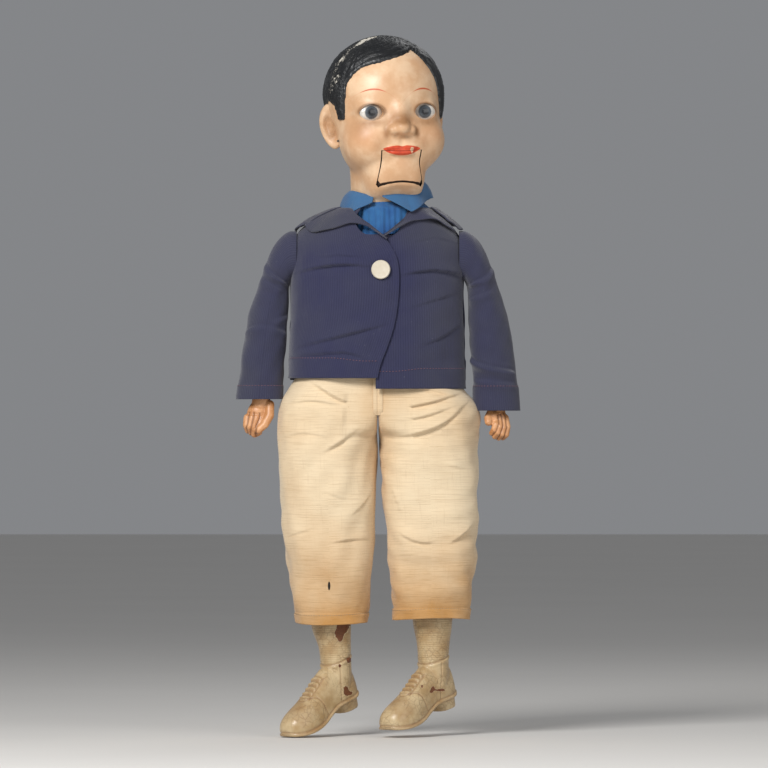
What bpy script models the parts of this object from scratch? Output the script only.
"""Ventriloquist dummy: a composition head with a moving slot jaw, a stuffed cloth body with jointed
limbs, composition hands and lower legs with moulded shoes, and a jacket, shirt and trousers.

The figure hangs upright and faces -Y. Sizes are in millimetres and every mesh is scaled to metres.
Each moving body hangs from an empty on its joint's axis.
"""

import math

import bmesh
import bpy
import numpy as np
from mathutils import Matrix, Vector

MM = 0.001

# ---- general ----
GAP = 0.4              # between pieces that touch
WALL = 4.0             # composition wall of the head
CLOTH = 1.5            # thickness of a clothing layer
LAYER = 2.4            # step from one clothing layer to the next
RADIALS = 24           # points round a limb or garment

# the record's origin: the grip between the shoulders, in the frame the body is drawn in, whose
# floor is the lowest shoe
GRIP = (0.0, 56.2, 520.0)

# ---- head, in its own frame: origin at the skull's middle, face towards -Y ----
HEAD_WIDTH = 120.0
HEAD_DEPTH = 126.0
HEAD_TOP = 77.0        # crown above the head's origin
CHIN_DROP = 78.0       # chin below the head's origin
NECK_RADIUS = 37.0
NECK_BACK = 8.0        # the neck's axis behind the head's origin
HEAD_ABOVE_NECK = 103.0
NECK_DEPTH = 9.0       # the neck runs this far below the swivel point
HEAD_ROLL = -1.5       # degrees, the crown leans to the figure's right
HEAD_YAW = 16.0        # degrees, the face turns to the figure's left
SPLIT_Y = 3.0          # the two pressed halves of the head meet here
EYE_SPREAD = 29.0
EYE_HEIGHT = -2.0
EYE_RADIUS = 13.0
EYE_OPEN = (12.0, 7.8)  # half width and half height of the eye opening
EYE_RECESS = 1.4

# ---- jaw ----
JAW_WIDTH = 40.0
MOUTH_HEIGHT = -41.5
PIVOT = (-3.0, -30.0)   # y and z of the jaw's pivot wire in the head's frame
JAW_SWEEP = 66.0       # radius of the slot's lower edge round the pivot wire
SIDE_GAP = 0.9
WIRE_RADIUS = 1.2
WIRE_FIT = 0.3
JAW_CHEEK = 3.0        # thickness of the jaw's side plates
LEVER_LENGTH = 36.0

# ---- body ----
NECK_POINT = (9.0, 4.0, 556.0)
TORSO_TOP = 541.0
HIP_Z = 352.0
KNEE_Z = 210.0
BODY_Y = 4.0
BODY_HALF = 88.5       # half width inside the jacket
BODY_DEPTH = 54.0      # half depth inside the jacket
JACKET_HEM = {"right": 381.0, "left": 369.0, "back": 378.0}
JACKET_NECK = 556.0
V_POINT = (8.0, 536.0)
BUTTON_Z = 493.0
BUTTON_RADIUS = 10.0

# ---- arms ----
SHOULDER_Z = 508.0
ELBOW_Z = 428.0
CUFF_Z = {"right": 358.0, "left": 346.0}
HAND_TIP = 317.0
HAND_X = 127.0
# inner and outer edge of a sleeve at each height, measured from the body's middle
UPPER_SLEEVE = [(429.5, 99, 139), (442, 97.5, 136), (460, 95, 131), (476, 93, 125), (500, 92, 117),
                (516, 92, 110), (526, 92, 104), (532, 92, 98)]
LOWER_SLEEVE = [(340, 106.5, 149), (378, 106.5, 147), (396, 105.8, 144), (414, 101, 142),
                (426.5, 99, 139)]

# ---- legs ----
LEG_X = 54.0
TROUSER_HEM = {"right": 124.0, "left": 129.0}
# inner and outer edge of a trouser leg at each height, measured from the body's middle
TROUSER_LEG = {
    "right": [(124, 10.5, 86), (212, 3.5, 98), (262, 2.5, 101), (298, 1.5, 104), (330, 1.5, 105),
              (350, 3, 103)],
    "left": [(124, 16, 95), (212, 9, 103.5), (262, 4, 105), (298, 1.5, 105), (330, 1.5, 105),
             (350, 3, 103)],
}
CALF_TOP = 168.0
ANKLE_RADIUS = 16.2
SHOE_LENGTH = 104.0
SHOE_HALF = 19.0
HEEL_HEIGHT = 11.0
SHOE_PITCH = {"right": 19.0, "left": 14.8}   # degrees, toes below the heel
SHOE_YAW = {"right": 46.0, "left": 40.0}   # degrees towards -X
ANKLE_X = {"right": -44.6, "left": 57.8}
CALF_X = {"right": -48.3, "left": 56.7}
SOLE_Z = {"right": 27.7, "left": 29.5}     # height of the sole under the ankle

SIDES = {"right": -1.0, "left": 1.0}

SHIFTS = {}            # how far each joint's empty stands from the frame its pieces are drawn in

COLOURS = {
    "skin": ((0.74, 0.52, 0.38), 0.42, 0.0),
    "hair": ((0.02, 0.02, 0.022), 0.35, 0.0),
    "glass": ((0.30, 0.33, 0.36), 0.12, 0.0),
    "steel": ((0.45, 0.45, 0.46), 0.35, 1.0),
    "brass": ((0.70, 0.52, 0.22), 0.35, 1.0),
    "lead": ((0.22, 0.22, 0.24), 0.6, 1.0),
    "wood": ((0.50, 0.33, 0.18), 0.7, 0.0),
    "calico": ((0.66, 0.58, 0.46), 0.95, 0.0),
    "cord": ((0.62, 0.55, 0.42), 0.9, 0.0),
    "navy": ((0.055, 0.058, 0.105), 0.9, 0.0),
    "shirt": ((0.03, 0.13, 0.30), 0.85, 0.0),
    "trouser": ((0.72, 0.60, 0.42), 0.9, 0.0),
    "hand": ((0.66, 0.36, 0.20), 0.45, 0.0),
    "shoe": ((0.66, 0.58, 0.46), 0.5, 0.0),
    "button": ((0.86, 0.82, 0.74), 0.3, 0.0),
}


# ---------------------------------------------------------------- helpers

def clear_scene():
    for obj in list(bpy.data.objects):
        bpy.data.objects.remove(obj)


def collection(name, shown=True):
    made = bpy.data.collections.new(name)
    made.hide_render = not shown
    bpy.context.scene.collection.children.link(made)
    return made


def material(name):
    found = bpy.data.materials.get(name)
    if found:
        return found
    colour, roughness, metallic = COLOURS[name]
    made = bpy.data.materials.new(name)
    made.use_nodes = True
    shader = made.node_tree.nodes["Principled BSDF"]
    shader.inputs["Base Color"].default_value = (*colour, 1.0)
    shader.inputs["Roughness"].default_value = roughness
    shader.inputs["Metallic"].default_value = metallic
    return made


def empty(name, place, parent=None, turn=None):
    """An empty at a place in its parent's frame, in millimetres, turned by a rotation matrix."""
    made = bpy.data.objects.new(name, None)
    PARTS.objects.link(made)
    made.parent = parent
    made.matrix_local = Matrix.Translation(Vector(place) * MM) @ (turn or Matrix.Identity(4))
    bpy.context.view_layer.update()
    return made


def joint(name, place, carrier, parent=None):
    """An empty on a joint's axis. Its pieces are drawn in the carrier's frame and moved into its own.
    It hangs from the carrier, or from another joint on the same carrier."""
    place = Vector(place)
    made = empty(name, place - SHIFTS.get(parent, Vector()), parent or carrier)
    SHIFTS[made] = place
    return made


def from_bmesh(name, bm, finish, parent, solid=True):
    """Turns a bmesh drawn in millimetres in its parent's frame into an object."""
    bmesh.ops.scale(bm, vec=(MM, MM, MM), verts=bm.verts)
    if solid:
        bmesh.ops.recalc_face_normals(bm, faces=bm.faces)
    bmesh.ops.translate(bm, vec=-SHIFTS.get(parent, Vector()) * MM, verts=bm.verts)
    mesh = bpy.data.meshes.new(name)
    bm.to_mesh(mesh)
    bm.free()
    obj = bpy.data.objects.new(name, mesh)
    (PARTS if finish else CUTTERS).objects.link(obj)
    obj.parent = parent
    if finish:
        mesh.materials.append(material(finish))
    else:
        obj.hide_render = True
        obj.display_type = "WIRE"
    return obj


def box(name, low, high, finish, parent):
    bm = bmesh.new()
    bmesh.ops.create_cube(bm, size=1.0)
    low, high = Vector(low), Vector(high)
    bmesh.ops.scale(bm, vec=high - low, verts=bm.verts)
    bmesh.ops.translate(bm, vec=(low + high) / 2, verts=bm.verts)
    return from_bmesh(name, bm, finish, parent)


def rod(name, start, end, radius, finish, parent, segments=16, end_radius=None):
    """A round bar, or a cone, between two points."""
    start, end = Vector(start), Vector(end)
    bm = bmesh.new()
    far = radius if end_radius is None else end_radius
    bmesh.ops.create_cone(bm, cap_ends=True, segments=segments, radius1=radius, radius2=far,
                          depth=(end - start).length)
    turn = (end - start).to_track_quat("Z", "Y").to_matrix().to_4x4()
    bmesh.ops.transform(bm, matrix=Matrix.Translation((start + end) / 2) @ turn, verts=bm.verts)
    return from_bmesh(name, bm, finish, parent)


def ball(name, centre, radii, finish, parent, segments=20, rings=12):
    bm = bmesh.new()
    bmesh.ops.create_uvsphere(bm, u_segments=segments, v_segments=rings, radius=1.0)
    bmesh.ops.scale(bm, vec=radii, verts=bm.verts)
    bmesh.ops.translate(bm, vec=centre, verts=bm.verts)
    return from_bmesh(name, bm, finish, parent)


def prism(name, outline, low, high, finish, parent):
    """A flat outline in the Y-Z plane, pulled along X from low to high."""
    bm = bmesh.new()
    rim = [bm.verts.new((low, y, z)) for y, z in outline]
    face = bm.faces.new(rim)
    pulled = bmesh.ops.extrude_face_region(bm, geom=[face])["geom"]
    moved = [v for v in pulled if isinstance(v, bmesh.types.BMVert)]
    bmesh.ops.translate(bm, vec=(high - low, 0, 0), verts=moved)
    return from_bmesh(name, bm, finish, parent)


def loft(name, rings, finish, parent, closed=True, caps=True):
    """Skin over a list of rings, low to high, each a list of points that runs towards +X in front."""
    bm = bmesh.new()
    rows = [[bm.verts.new(p) for p in ring] for ring in rings]
    count = len(rows[0])
    for low, high in zip(rows, rows[1:]):
        for i in range(count if closed else count - 1):
            j = (i + 1) % count
            bm.faces.new((low[i], low[j], high[j], high[i]))
    if closed and caps:
        bm.faces.new(rows[0])
        bm.faces.new(rows[-1])
    return from_bmesh(name, bm, finish, parent, solid=closed and caps)


def boolean(obj, other, operation):
    modifier = obj.modifiers.new(operation.lower(), "BOOLEAN")
    modifier.operation = operation
    modifier.solver = "EXACT"
    modifier.object = other
    return obj


def cut(obj, *cutters):
    for cutter in cutters:
        boolean(obj, cutter, "DIFFERENCE")
    return obj


def join(obj, *others):
    for other in others:
        boolean(obj, other, "UNION")
    return obj


def thicken(obj, thickness=CLOTH, offset=1.0):
    """Gives an open surface its thickness, in millimetres, outwards for an offset of 1."""
    modifier = obj.modifiers.new("thickness", "SOLIDIFY")
    modifier.thickness = thickness * MM
    modifier.offset = offset
    modifier.use_even_offset = True
    return obj


def settled(name, obj, finish, parent):
    """A new object that holds an object's evaluated mesh, in the given parent's frame."""
    bpy.context.view_layer.update()
    graph = bpy.context.evaluated_depsgraph_get()
    mesh = bpy.data.meshes.new_from_object(obj.evaluated_get(graph))
    mesh.transform(parent.matrix_world.inverted() @ obj.matrix_world)
    mesh.name = name
    made = bpy.data.objects.new(name, mesh)
    (PARTS if finish else CUTTERS).objects.link(made)
    made.parent = parent
    mesh.materials.clear()
    if finish:
        mesh.materials.append(material(finish))
    else:
        made.hide_render = True
        made.display_type = "WIRE"
    return made


def oval(z, cx, cy, rx, ry, power=2.3, count=RADIALS, start=0.0, end=360.0, offset=0.0):
    """Points round a rounded section at height z. 0 degrees is the front, 90 is +X."""
    points = []
    full = abs(end - start) >= 360.0
    for i in range(count):
        a = math.radians(start + (end - start) * i / (count if full else count - 1))
        s, c = math.sin(a), math.cos(a)
        reach = (abs(s) ** power + abs(c) ** power) ** (-1.0 / power)
        points.append((cx + (rx + offset) * reach * s, cy - (ry + offset) * reach * c, z))
    return points


def at_height(profile, z):
    """Section values of a profile, a list of (z, cx, cy, rx, ry), at a height."""
    heights = [row[0] for row in profile]
    return [float(np.interp(z, heights, [row[k] for row in profile])) for k in range(1, 5)]


def stuffed(name, profile, finish, parent, offset=0.0, power=2.3):
    rings = [oval(z, cx, cy, rx, ry, power, offset=offset) for z, cx, cy, rx, ry in profile]
    return loft(name, rings, finish, parent)


def sleeve(name, profile, finish, parent, power=2.3):
    """An open tube of cloth whose inner face follows a profile."""
    rings = [oval(z, cx, cy, rx, ry, power) for z, cx, cy, rx, ry in profile]
    return thicken(loft(name, rings, finish, parent, caps=False))


def drape(name, profile, start, end, bottom, top, finish, parent, layer=0.0, columns=15, rows=7,
          crowd=1.0):
    """A cloth panel lying over a profile, from one angle to another. bottom and top give the height
    of its edges for each angle, layer is how many clothing layers lie beneath it, and a crowd over
    1 draws its rows together towards the top."""
    grid = []
    lift = layer * LAYER
    for r in range(rows):
        line = []
        for c in range(columns):
            angle = start + (end - start) * c / (columns - 1)
            low, high = bottom(angle), top(angle)
            z = low + (high - low) * (1.0 - (1.0 - r / (rows - 1)) ** crowd)
            cx, cy, rx, ry = at_height(profile, z)
            point = oval(z, cx, cy, rx, ry, count=2, start=angle, end=angle + 1.0, offset=lift)[0]
            line.append((point[0], point[1], point[2] + lift * shoulder_slope(profile, z)))
        grid.append(line)
    return thicken(loft(name, grid, finish, parent, closed=False))


def shoulder_slope(profile, z):
    """How much of a layer's step goes upwards: none on the upright chest, most near the neck."""
    _, _, wide, _ = at_height(profile, z - 6.0)
    _, _, narrow, _ = at_height(profile, z + 2.0)
    return min(1.0, max(0.0, (wide - narrow) / 14.0))


def fixed(value):
    """An edge at one height all the way along."""
    return lambda angle: value


def sloped(*stops):
    """An edge whose height is read between (angle, height) stops."""
    return lambda angle: float(np.interp(angle, [a for a, _ in stops], [z for _, z in stops]))


# ---------------------------------------------------------------- head form

def ellipsoid(p, centre, radii):
    q = p - np.array(centre)
    near = np.linalg.norm(q / np.array(radii), axis=-1)
    steep = np.linalg.norm(q / np.array(radii) ** 2, axis=-1)
    return near * (near - 1.0) / np.maximum(steep, 1e-9)


def soft_union(a, b, blend):
    h = np.clip(0.5 + 0.5 * (b - a) / blend, 0.0, 1.0)
    return b * (1 - h) + a * h - blend * h * (1 - h)


def head_field(p):
    """Distance-like value of the head's outer form: below zero is inside."""
    half, deep = HEAD_WIDTH / 2, HEAD_DEPTH / 2
    form = ellipsoid(p, (0, 8, HEAD_TOP - 60), (half, deep, 60))
    form = soft_union(form, ellipsoid(p, (0, -8, 52 - CHIN_DROP), (half - 7, 50, 52)), 16)
    for side in (-1, 1):
        form = soft_union(form, ellipsoid(p, (27 * side, -30, -32), (25, 23, 23)), 14)
    form = soft_union(form, ellipsoid(p, (0, -39, 15 - CHIN_DROP), (20, 17, 15)), 12)
    form = soft_union(form, ellipsoid(p, (0, -59, -20), (9, 9, 8)), 6)
    return form


def on_head(directions, inset=0.0, centre=(0.0, 0.0, 0.0)):
    """Points of the head's form along directions from a centre, found by halving the interval."""
    low = np.zeros(len(directions))
    high = np.full(len(directions), 140.0)
    for _ in range(36):
        middle = (low + high) / 2
        inside = head_field(np.array(centre) + directions * middle[:, None]) + inset < 0
        low = np.where(inside, middle, low)
        high = np.where(inside, high, middle)
    return np.array(centre) + directions * low[:, None]


def head_ball(name, inset, segments, rings):
    bm = bmesh.new()
    bmesh.ops.create_uvsphere(bm, u_segments=segments, v_segments=rings, radius=1.0)
    points = on_head(np.array([v.co.normalized() for v in bm.verts]), inset)
    for vert, point in zip(bm.verts, points):
        vert.co = point
    return from_bmesh(name, bm, None, HEAD)


def face_y(x, z):
    """The y of the face's surface in front of (x, z)."""
    return on_head(np.array([(0.0, -1.0, 0.0)]), centre=(x, 0.0, z))[0][1]


# ---------------------------------------------------------------- head pieces

def slot_outline(shrink):
    """The jaw slot seen from the side: the mouth line, the way in, and an arc round the pivot wire."""
    pivot_y, pivot_z = PIVOT
    radius = JAW_SWEEP - shrink
    mouth = MOUTH_HEIGHT - shrink * 0.6
    front = -100.0 + shrink
    arc = [(pivot_y - radius * math.cos(math.radians(a)), pivot_z - radius * math.sin(math.radians(a)))
           for a in range(47, 91, 4)]
    inner = -12.0
    return [(front, mouth), (inner, mouth), (inner, pivot_z - radius)] + \
        [p for p in reversed(arc) if p[0] < inner] + [(front, pivot_z - radius)]


def cheek_outline():
    """One side plate of the jaw: a boss round the pivot wire that runs forward to the chin."""
    pivot_y, pivot_z = PIVOT
    boss = [(pivot_y + 7 * math.cos(math.radians(a)), pivot_z + 7 * math.sin(math.radians(a)))
            for a in range(100, -81, -20)]
    return [(-70.0, MOUTH_HEIGHT - 3.0), (-34.0, MOUTH_HEIGHT - 1.0)] + boss + \
        [(-22.0, pivot_z - 44.0), (-40.0, pivot_z - 44.0), (-70.0, pivot_z - 40.0)]


def head_form():
    """The whole hollow head, before its two halves and the jaw are cut from it."""
    outer = head_ball("head_outer", 0.0, 36, 24)
    neck = rod("neck_outer", (0, NECK_BACK, -HEAD_ABOVE_NECK - NECK_DEPTH), (0, NECK_BACK, -45),
               NECK_RADIUS, None, HEAD, segments=28)
    ears = []
    for side in (-1, 1):
        ears.append(ball(f"ear_{side}", (side * (HEAD_WIDTH / 2 + 1.0), 12, -11), (8, 13, 22), None,
                         HEAD, 14, 10))
    inner = head_ball("head_inner", WALL, 26, 18)
    bore = rod("neck_bore", (0, NECK_BACK, -HEAD_ABOVE_NECK - NECK_DEPTH - 5), (0, NECK_BACK, -50),
               NECK_RADIUS - WALL, None, HEAD, segments=24)
    join(outer, neck, *ears)
    return outer, settled("head_whole", cut(outer, inner, bore), None, HEAD)


def make_head():
    pivot_y, pivot_z = PIVOT
    half = JAW_WIDTH / 2
    outer, whole = head_form()
    hole = rod("pivot_hole", (-90, pivot_y, pivot_z), (90, pivot_y, pivot_z), WIRE_RADIUS + WIRE_FIT,
               None, HEAD)
    slot = prism("jaw_slot", slot_outline(0.0), -half - SIDE_GAP, half + SIDE_GAP, None, HEAD)
    eyes = []
    openings = []
    for side, sign in SIDES.items():
        x = sign * EYE_SPREAD
        depth = face_y(x, EYE_HEIGHT) + EYE_RECESS + EYE_RADIUS
        opening = rod(f"eye_opening_{side}", (x, depth, EYE_HEIGHT), (x, depth - 40, EYE_HEIGHT), 1.0,
                      None, HEAD, segments=20)
        wide, tall = EYE_OPEN
        shape = Matrix.Translation((x * MM, 0, EYE_HEIGHT * MM)) @ Matrix.Diagonal((wide, 1, tall, 1)) \
            @ Matrix.Translation((-x * MM, 0, -EYE_HEIGHT * MM))
        opening.data.transform(shape)
        seat = ball(f"eye_seat_cut_{side}", (x, depth, EYE_HEIGHT), (EYE_RADIUS + GAP,) * 3, None, HEAD,
                    23, 14)
        openings.append(settled(f"eye_room_{side}", join(seat, opening), None, HEAD))
        eyes.append(ball(f"eye_{side}", (x, depth, EYE_HEIGHT), (EYE_RADIUS,) * 3, "glass", HEAD, 20, 12))
        dish = ball(f"eye_plaster_{side}", (x, depth + 4.0, EYE_HEIGHT),
                    (EYE_RADIUS - 2, EYE_RADIUS + 2, EYE_RADIUS - 2), "calico", HEAD, 16, 10)
        front = box(f"eye_dish_cut_{side}", (x - 30, depth - 40, EYE_HEIGHT - 30),
                    (x + 30, depth + 6, EYE_HEIGHT + 30), None, HEAD)
        cut(dish, seat, front)

    face = settled("face_shell", whole, "skin", HEAD)
    back_box = box("front_half_cut", (-120, SPLIT_Y - GAP / 2, -160), (120, 160, 160), None, HEAD)
    cut(face, back_box, slot, hole, *openings)
    skull = settled("skull_shell", whole, "hair", HEAD)
    front_box = box("rear_half_cut", (-120, -160, -160), (120, SPLIT_Y + GAP / 2, 160), None, HEAD)
    string_way = rod("string_way", (0, 20, -78), (0, 80, -78), 4.0, None, HEAD)
    cut(skull, front_box, string_way)
    eyelet = rod("string_eyelet", (0, NECK_BACK + NECK_RADIUS - WALL, -78),
                 (0, NECK_BACK + NECK_RADIUS + 0.8, -78), 4.0 - GAP, "brass", HEAD)
    cut(eyelet, rod("eyelet_bore", (0, 20, -78), (0, 80, -78), 2.0, None, HEAD))
    reach = HEAD_WIDTH / 2 - 5.0
    rod("jaw_pivot_wire", (-reach, pivot_y, pivot_z), (reach, pivot_y, pivot_z), WIRE_RADIUS, "steel",
        HEAD)
    return outer, whole, hole, eyes


def make_jaw(outer, whole, hole):
    """The chin, cut from the same form as the face, its two side plates and what rides with it."""
    pivot_y, pivot_z = PIVOT
    half = JAW_WIDTH / 2
    window = prism("jaw_window", slot_outline(1.4), -half, half, None, HEAD)
    chin = settled("chin_skin", boolean(settled("chin_form", whole, None, HEAD), window, "INTERSECT"),
                   None, HEAD)
    plates = []
    for side, sign in SIDES.items():
        low, high = sorted((sign * (half - 0.2), sign * (half - 0.2 - JAW_CHEEK)))
        plate = prism(f"jaw_cheek_{side}", cheek_outline(), low, high, None, HEAD)
        boolean(plate, outer_inset("cheek_limit_" + side), "INTERSECT")
        plates.append(plate)
    whole_jaw = settled("jaw_whole", join(chin, *plates), None, HEAD)
    jaw = settled("jaw", cut(whole_jaw, hole), "skin", JAW)
    room = half - 0.2 - JAW_CHEEK - GAP
    bush = rod("jaw_bush", (-room, pivot_y, pivot_z), (room, pivot_y, pivot_z), 5.0, "wood", JAW)
    cut(bush, hole)
    start = pivot_y + 5.0 + GAP
    lever = box("jaw_lever", (-4, start, pivot_z - 1.5), (4, start + LEVER_LENGTH, pivot_z + 1.5),
                "steel", JAW)
    string_hole = rod("lever_hole", (0, start + LEVER_LENGTH - 4, pivot_z - 9),
                      (0, start + LEVER_LENGTH - 4, pivot_z + 9), 1.8, None, HEAD)
    cut(lever, string_hole)
    weight_y = start + LEVER_LENGTH - 17
    rod("jaw_counterweight", (0, weight_y, pivot_z - 1.5 - GAP), (0, weight_y, pivot_z - 16), 9.5,
        "lead", JAW, segments=24)
    return jaw


def outer_inset(name):
    """The head's form drawn in by half a wall, which keeps the jaw's side plates inside the face."""
    return head_ball(name, WALL / 2, 26, 18)


def make_neck_ties():
    """The body's cloth neck, drawn round the head's neck, and the cord that ties it."""
    cloth = [(z, 0, 0, NECK_RADIUS + GAP, NECK_RADIUS + GAP) for z in (-7.0, 5.0)]
    sleeve("neck_cloth", cloth, "calico", NECK, power=2.0)
    radius = NECK_RADIUS + GAP + CLOTH + GAP + 1.5
    bpy.ops.mesh.primitive_torus_add(major_radius=radius * MM, minor_radius=1.4 * MM,
                                     major_segments=32, minor_segments=8)
    cord = bpy.context.object
    cord.name = "neck_tie_cord"
    for owner in cord.users_collection:
        owner.objects.unlink(cord)
    PARTS.objects.link(cord)
    cord.data.materials.append(material("cord"))
    cord.data.transform(Matrix.Translation((0, 0, -5.0 * MM)))
    cord.parent = NECK


# ---------------------------------------------------------------- body and clothes

def torso_profile():
    inside = LAYER * 1.7
    wide, deep = BODY_HALF - inside, BODY_DEPTH - inside
    return [
        (HIP_Z + 8, 0, BODY_Y, wide - 4, 12.0),
        (HIP_Z + 15, 0, BODY_Y, wide - 3, 30.0),
        (HIP_Z + 25, 0, BODY_Y, wide - 3, 43.0),
        (HIP_Z + 48, 0, BODY_Y, wide, 46.0),
        (HIP_Z + 90, 0, BODY_Y, wide, deep),
        (HIP_Z + 138, 0, BODY_Y, wide - 2, deep - 3),
        (JACKET_NECK - 30, 2, BODY_Y, wide - 6, deep - 10),
        (TORSO_TOP, NECK_POINT[0], BODY_Y, NECK_RADIUS + 14, NECK_RADIUS - 4),
    ]


def jacket_profile():
    neck = NECK_RADIUS + 10.5
    return [
        (JACKET_HEM["left"] - 4, 0, BODY_Y, BODY_HALF, BODY_DEPTH),
        (JACKET_HEM["left"] + 70, 0, BODY_Y, BODY_HALF, BODY_DEPTH + 1),
        (JACKET_NECK - 60, 0, BODY_Y, BODY_HALF, BODY_DEPTH - 1),
        (JACKET_NECK - 38, 0, BODY_Y, BODY_HALF, BODY_DEPTH - 3),
        (JACKET_NECK - 24, 0, BODY_Y, BODY_HALF - 2, BODY_DEPTH - 5),
        (JACKET_NECK - 15, 1, BODY_Y, BODY_HALF - 9, BODY_DEPTH - 7),
        (JACKET_NECK - 8, 3, BODY_Y, BODY_HALF - 21, BODY_DEPTH - 8),
        (JACKET_NECK, NECK_POINT[0], BODY_Y, neck, neck - 1),
    ]


def make_torso():
    stuffed("torso_stuffing", torso_profile(), "calico", BODY)
    shirt = [(z, cx, cy, rx, ry) for z, cx, cy, rx, ry in torso_profile()]
    drape("shirt_front", shirt, -42, 42, fixed(HIP_Z + 120), fixed(TORSO_TOP - 2), "shirt", BODY,
          layer=0.6, columns=11, rows=7)
    seat = [
        (HIP_Z + 6.5, 0, BODY_Y, BODY_HALF - 1.5, 15.0),
        (HIP_Z + 11.5, 0, BODY_Y, BODY_HALF - 0.5, 34.0),
        (HIP_Z + 16.5, 0, BODY_Y, BODY_HALF - 3.6, 46.0),
        (HIP_Z + 27, 0, BODY_Y, BODY_HALF - 3.4, BODY_DEPTH - 4.2),
        (HIP_Z + 60, 0, BODY_Y, BODY_HALF - 2.6, BODY_DEPTH - 3.6),
    ]
    sleeve("trouser_seat", seat, "trouser", BODY)


def make_jacket():
    profile = jacket_profile()
    neck = fixed(JACKET_NECK)
    drape("jacket_back", profile, 90.5, 269.5, fixed(JACKET_HEM["back"]), neck, "navy", BODY,
          columns=19, rows=10, crowd=2.2)
    v_cut = jacket_opening()
    left = drape("jacket_front_left", profile, -9, 89.5, fixed(JACKET_HEM["left"]), neck, "navy", BODY,
                 columns=13, rows=10, crowd=2.2)
    cut(left, v_cut)
    over = [(z, cx, cy, rx, ry + LAYER) for z, cx, cy, rx, ry in profile]
    right_hem = sloped((-89.5, JACKET_HEM["right"] - 3), (11, JACKET_HEM["right"]))
    right = drape("jacket_front_right", over, -89.5, 11, right_hem, neck, "navy", BODY,
                  columns=13, rows=10, crowd=2.2)
    cut(right, v_cut)
    low = JACKET_NECK - 16
    edge = fixed(JACKET_NECK + 0.5)
    drape("lapel_left", profile, 13, 74, sloped((13, low - 3), (60, low - 7), (74, low + 5)), edge,
          "navy", BODY, layer=1.5, columns=11, rows=6)
    drape("lapel_right", over, -74, -9, sloped((-74, low + 5), (-60, low - 7), (-9, low - 3)), edge,
          "navy", BODY, layer=1.5, columns=11, rows=6)
    drape("jacket_collar", profile, 77, 283, sloped((77, low - 2), (95, low + 3), (180, low + 1),
                                                    (265, low + 3), (283, low - 2)),
          edge, "navy", BODY, layer=1.5, columns=21, rows=6)
    _, cy, _, ry = at_height(over, BUTTON_Z)
    face = cy - ry - CLOTH - 2 * GAP
    rod("jacket_button", (3, face, BUTTON_Z), (3, face - 3.2, BUTTON_Z), BUTTON_RADIUS, "button", BODY,
        segments=28, end_radius=BUTTON_RADIUS - 1.5)


def jacket_opening():
    """The notch at the neck where the two fronts fold back, as a wedge that runs through them."""
    x, z = V_POINT
    bm = bmesh.new()
    rim = [bm.verts.new((px, -110.0, pz)) for px, pz in
           ((x, z), (x + 44, JACKET_NECK + 8), (x - 44, JACKET_NECK + 8))]
    face = bm.faces.new(rim)
    pulled = bmesh.ops.extrude_face_region(bm, geom=[face])["geom"]
    bmesh.ops.translate(bm, vec=(0, 100, 0), verts=[v for v in pulled if isinstance(v, bmesh.types.BMVert)])
    return from_bmesh("jacket_opening_cut", bm, None, BODY)


def make_shirt_collar():
    """The collar's stand round the neck and its two pointed leaves, in the neck's leaning frame."""
    inside = NECK_RADIUS + 2.6
    stand = [(z, 0, 0, inside, inside) for z in (-2.6, 11.0)]
    gap = 7.0
    rings = [oval(z, cx, cy, rx, ry, 2.0, count=31, start=gap, end=360 - gap)
             for z, cx, cy, rx, ry in stand]
    thicken(loft("shirt_collar_stand", rings, "shirt", NECK, closed=False), 1.2)
    for side, sign in SIDES.items():
        rings = []
        for step in range(5):
            t = step / 4
            ring = []
            for a in range(8, 171, 9):
                point = math.exp(-((a - 25) / 19.0) ** 2)
                top = float(np.interp(a, (95, 130), (12.0, 19.0)))
                low = float(np.interp(a, (60, 130), (3.5, 4.5))) - 10.0 * point
                out = inside + 1.9 + (2.0 + 3.5 * point) * t ** 0.8
                angle = math.radians(a) * sign
                ring.append((out * math.sin(angle), -out * math.cos(angle), top + (low - top) * t))
            rings.append(ring)
        if sign > 0:
            rings.reverse()
        thicken(loft(f"shirt_collar_{side}", rings, "shirt", NECK, closed=False), 1.2)


# ---------------------------------------------------------------- arms

def span_row(sign, spans, z, front, back):
    """A section whose outer face meets the edges tabled for a height, and which reaches a stated way
    in front of and behind the joint axes."""
    inner, outer = (float(np.interp(z, [row[0] for row in spans], [row[k] for row in spans]))
                    for k in (1, 2))
    return (z, sign * (inner + outer) / 2, BODY_Y + (back - front) / 2, (outer - inner) / 2 - CLOTH,
            (front + back) / 2)


def sleeve_upper_profile(sign):
    reach = [(ELBOW_Z + 1.5, -0.7, 20), (ELBOW_Z + 14, 4.6, 22), (ELBOW_Z + 32, 14.5, 22),
             (SHOULDER_Z - 22, 22, 22), (SHOULDER_Z - 6, 21, 21), (SHOULDER_Z + 8, 18, 18),
             (SHOULDER_Z + 18, 13, 13), (SHOULDER_Z + 24, 7, 7)]
    return [span_row(sign, UPPER_SLEEVE, *row) for row in reach]


def sleeve_lower_profile(side, sign):
    cuff = CUFF_Z[side]
    reach = [(cuff, 19, 19), (cuff + 20, 19, 20), (ELBOW_Z - 32, 13.5, 22), (ELBOW_Z - 14, 4.6, 22),
             (ELBOW_Z - 1.5, -0.7, 20)]
    return [span_row(sign, LOWER_SLEEVE, *row) for row in reach]


def shrunk(profile, inset):
    return [(z, cx, cy, max(rx - inset, 1.0), max(ry - inset, 1.0)) for z, cx, cy, rx, ry in profile]


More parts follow.
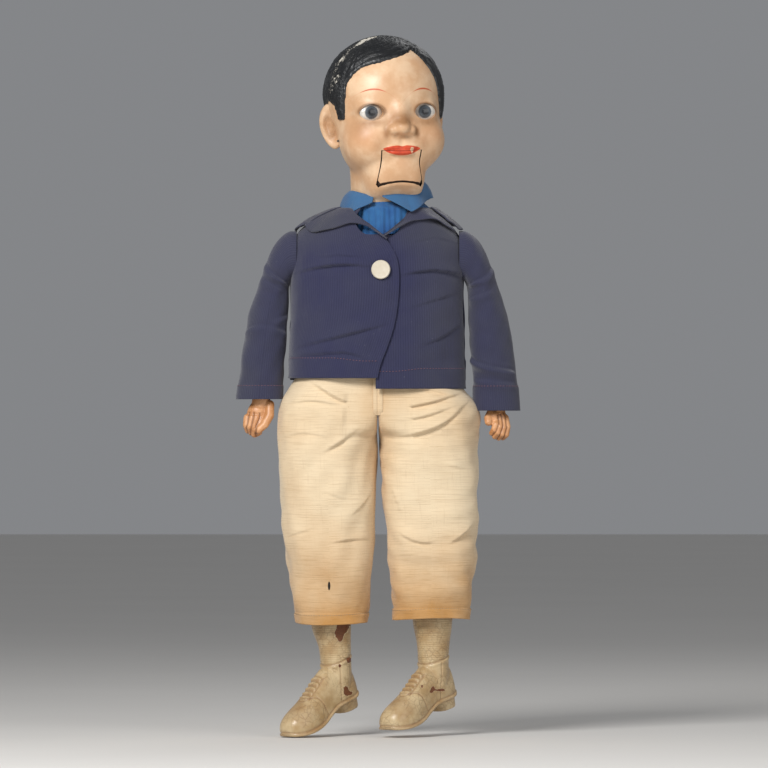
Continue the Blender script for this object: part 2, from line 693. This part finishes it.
def make_arm(side, sign, upper, lower):
    """Stuffed upper arm and forearm, the sleeve round each, and the composition hand."""
    sleeve(f"sleeve_upper_{side}", sleeve_upper_profile(sign), "navy", upper)
    sleeve(f"sleeve_lower_{side}", sleeve_lower_profile(side, sign), "navy", lower)
    arm = shrunk(sleeve_upper_profile(sign), 2.5)
    stuffed(f"upper_arm_{side}", arm[1:6], "calico", upper)
    wrist = CUFF_Z[side] + 22
    forearm = shrunk(sleeve_lower_profile(side, sign), 5.0)
    rows = [(wrist, sign * HAND_X, BODY_Y, 11.5, 9.5), (ELBOW_Z - 32, *forearm[2][1:]), forearm[3]]
    stuffed(f"forearm_{side}", rows, "calico", lower)
    make_hand(side, sign, lower, wrist)


def make_hand(side, sign, parent, wrist):
    """A composition hand: a wrist post that meets the stuffing, a palm that faces back, four
    fingers that curl back and a thumb on the body's side."""
    x, y = sign * HAND_X, BODY_Y
    cuff = CUFF_Z[side]
    knuckle = HAND_TIP + 19.0
    palm_rows = [
        (knuckle - 5, x, y, 12.5, 7.0),
        (knuckle + 5, x, y, 13.5, 8.5),
        (max(knuckle + 13, cuff - 10), x, y, 12.5, 8.5),
        (cuff + 4, x, y, 10.0, 8.0),
        (wrist - GAP, x, y, 9.5, 8.0),
    ]
    rings = [oval(z, cx, cy, rx, ry, count=18) for z, cx, cy, rx, ry in palm_rows]
    hand = loft(f"hand_{side}", rings, "hand", parent)
    fingers = []
    for i, length in enumerate((15.0, 18.5, 17.5, 14.0)):
        across = x - sign * (9.6 - 6.4 * i)
        bend = (across, y - 2.0, knuckle - length * 0.62)
        fingers.append(rod(f"finger_{i}_{side}", (across, y - 2.0, knuckle + 4), bend, 4.2, None,
                           parent, segments=10, end_radius=3.9))
        fingers.append(rod(f"finger_end_{i}_{side}", (across, y - 3.5, bend[2] + 1.0),
                           (across, y + 6.0, bend[2] - 4.5), 3.8, None, parent, segments=10,
                           end_radius=3.0))
    fingers.append(rod(f"thumb_{side}", (x - sign * 8, y - 2, knuckle + 12),
                       (x - sign * 15.5, y - 6, knuckle - 4), 5.0, None, parent, segments=10,
                       end_radius=3.8))
    join(hand, *fingers)
    return hand


# ---------------------------------------------------------------- legs

def thigh_profile(side, sign):
    """Inner face of the upper trouser leg: it narrows to the hip and knee seams where it folds."""
    reach = [(KNEE_Z + 2.0, 38, 0.2), (KNEE_Z + 20, 40, 12), (KNEE_Z + 54, 42, 40),
             (HIP_Z - 76, 42, 42), (HIP_Z - 56, 29, 42), (HIP_Z - 22, 10, 40), (HIP_Z - 6, 1.0, 36)]
    return [span_row(sign, TROUSER_LEG[side], *row) for row in reach]


def shin_profile(side, sign):
    hem = TROUSER_HEM[side]
    reach = [(hem, 34, 36), (KNEE_Z - 54, 38, 38), (KNEE_Z - 20, 38, 12), (KNEE_Z - 2.0, 38, 0.2)]
    return [span_row(sign, TROUSER_LEG[side], *row) for row in reach]


def make_leg(side, sign, upper, lower):
    """Stuffed thigh, the trouser leg above and below the knee, and the composition lower leg."""
    sleeve(f"trouser_upper_{side}", thigh_profile(side, sign), "trouser", upper)
    sleeve(f"trouser_lower_{side}", shin_profile(side, sign), "trouser", lower)
    thigh = shrunk(thigh_profile(side, sign), 3.5)
    stuffed(f"thigh_{side}", thigh[1:6], "calico", upper)
    knee = shrunk(shin_profile(side, sign), 6.0)
    stub = [
        (CALF_TOP + GAP, CALF_X[side], BODY_Y - 2, 24, 18),
        (KNEE_Z - 20, *knee[2][1:]),
        (KNEE_Z - 8, knee[3][1], BODY_Y - 14, knee[3][3] - 3, 15),
    ]
    stuffed(f"knee_stuffing_{side}", stub, "calico", lower)
    make_lower_leg(side, lower)


def make_lower_leg(side, parent):
    """Calf, ankle and shoe, moulded as one."""
    ankle_x, top_x = ANKLE_X[side], CALF_X[side]
    ankle_z = SOLE_Z[side] + 44.0
    rows = [
        (ankle_z - 20, ankle_x, BODY_Y, ANKLE_RADIUS - 2, ANKLE_RADIUS),
        (ankle_z + 4, ankle_x, BODY_Y, ANKLE_RADIUS - 1, ANKLE_RADIUS + 1),
        (ankle_z + 26, (2 * ankle_x + top_x) / 3, BODY_Y, ANKLE_RADIUS, ANKLE_RADIUS + 2),
        (TROUSER_HEM[side] - 5, top_x, BODY_Y, ANKLE_RADIUS + 4.4, ANKLE_RADIUS + 4.4),
        (CALF_TOP - 8, top_x, BODY_Y - 1, ANKLE_RADIUS + 6, ANKLE_RADIUS + 3),
        (CALF_TOP, top_x, BODY_Y - 2, ANKLE_RADIUS + 5, ANKLE_RADIUS),
    ]
    rings = [oval(z, cx, cy, rx, ry, 2.1, count=20) for z, cx, cy, rx, ry in rows]
    leg = loft(f"lower_leg_{side}", rings, "shoe", parent)
    join(leg, make_shoe(side, parent), make_heel(side, parent))


def shoe_frame(side):
    """The shoe's own frame: X forward along the sole, Y across, Z up from the sole."""
    yaw = math.radians(-90.0 - SHOE_YAW[side])
    turn = Matrix.Rotation(yaw, 4, "Z") @ Matrix.Rotation(math.radians(SHOE_PITCH[side]), 4, "Y")
    return BODY.matrix_world @ Matrix.Translation(
        Vector((ANKLE_X[side], BODY_Y, SOLE_Z[side])) * MM) @ turn


def shoe_station(u):
    """Half width, bottom and top of the shoe a share u along its length, 0 at the heel."""
    stops = [0.0, 0.06, 0.2, 0.36, 0.5, 0.66, 0.8, 0.92, 0.98, 1.0]
    wide = [0.45, 0.70, 0.80, 0.76, 0.80, 0.98, 1.0, 0.78, 0.50, 0.22]
    high = [46, 49, 50, 47, 39, 30, 25, 21, 15, 9]
    low = [HEEL_HEIGHT + 3, HEEL_HEIGHT, HEEL_HEIGHT, HEEL_HEIGHT * 0.9, HEEL_HEIGHT * 0.45, 0.6,
           0.0, 1.0, 2.5, 4.0]
    return [float(np.interp(u, stops, values)) for values in (wide, low, high)]


def placed(obj, side):
    """Puts an object that is drawn in the shoe's frame into its parent's frame."""
    obj.data.transform(Matrix.Translation(SHIFTS[obj.parent] * MM))
    obj.data.transform(obj.parent.matrix_world.inverted() @ shoe_frame(side))
    return obj


def make_shoe(side, parent):
    stations = [0.0, 0.05, 0.12, 0.22, 0.34, 0.46, 0.58, 0.7, 0.8, 0.88, 0.94, 0.98, 1.0]
    rings = []
    for u in stations:
        wide, low, high = shoe_station(u)
        half = wide * SHOE_HALF
        x = (u - 0.26) * SHOE_LENGTH
        ring = [(x, -half, low), (x, half, low)]
        for i in range(11):
            a = math.pi * i / 10
            lift = 3.0 + (high - low - 3.0) * math.sin(a) ** 0.8
            ring.append((x, half * math.cos(a) * (1.0 if i in (0, 10) else 0.96), low + lift))
        rings.append(ring)
    return placed(loft(f"shoe_form_{side}", rings, None, parent), side)


def make_heel(side, parent):
    rings = []
    for z, grow in ((0.0, 0.92), (HEEL_HEIGHT + 3.0, 1.0)):
        ring = []
        for i in range(16):
            a = 2 * math.pi * i / 16
            reach = (abs(math.cos(a)) ** 3 + abs(math.sin(a)) ** 3) ** (-1 / 3)
            ring.append((-0.13 * SHOE_LENGTH + 12.5 * grow * reach * math.cos(a),
                         SHOE_HALF * 0.66 * grow * reach * math.sin(a), z))
        rings.append(ring)
    return placed(loft(f"heel_form_{side}", rings, None, parent), side)


# ---------------------------------------------------------------- assembly

clear_scene()
PARTS = collection("ventriloquist_dummy")
CUTTERS = collection("cutters", shown=False)

BODY = empty("body_root", -Vector(GRIP))
NECK = empty("neck_axis", NECK_POINT, BODY, Matrix.Rotation(math.radians(HEAD_ROLL), 4, "Y"))
HEAD = empty("head_axis", (0, 0, 0), NECK, Matrix.Rotation(math.radians(HEAD_YAW), 4, "Z")
             @ Matrix.Translation((0, -NECK_BACK * MM, HEAD_ABOVE_NECK * MM)))
JAW = joint("jaw_axis", (0, *PIVOT), HEAD)

head_outer, head_whole, pivot_hole, _ = make_head()
make_jaw(head_outer, head_whole, pivot_hole)
make_neck_ties()
make_torso()
make_jacket()
make_shirt_collar()
for side_name, side_sign in SIDES.items():
    shoulder = joint(f"shoulder_axis_{side_name}", (side_sign * UPPER_SLEEVE[-1][1], BODY_Y,
                                                    SHOULDER_Z), BODY)
    elbow = joint(f"elbow_axis_{side_name}", (side_sign * 119.0, BODY_Y, ELBOW_Z), BODY, shoulder)
    hip = joint(f"hip_axis_{side_name}", (side_sign * LEG_X, BODY_Y, HIP_Z), BODY)
    knee = joint(f"knee_axis_{side_name}", (side_sign * LEG_X, BODY_Y, KNEE_Z), BODY, hip)
    make_arm(side_name, side_sign, shoulder, elbow)
    make_leg(side_name, side_sign, hip, knee)
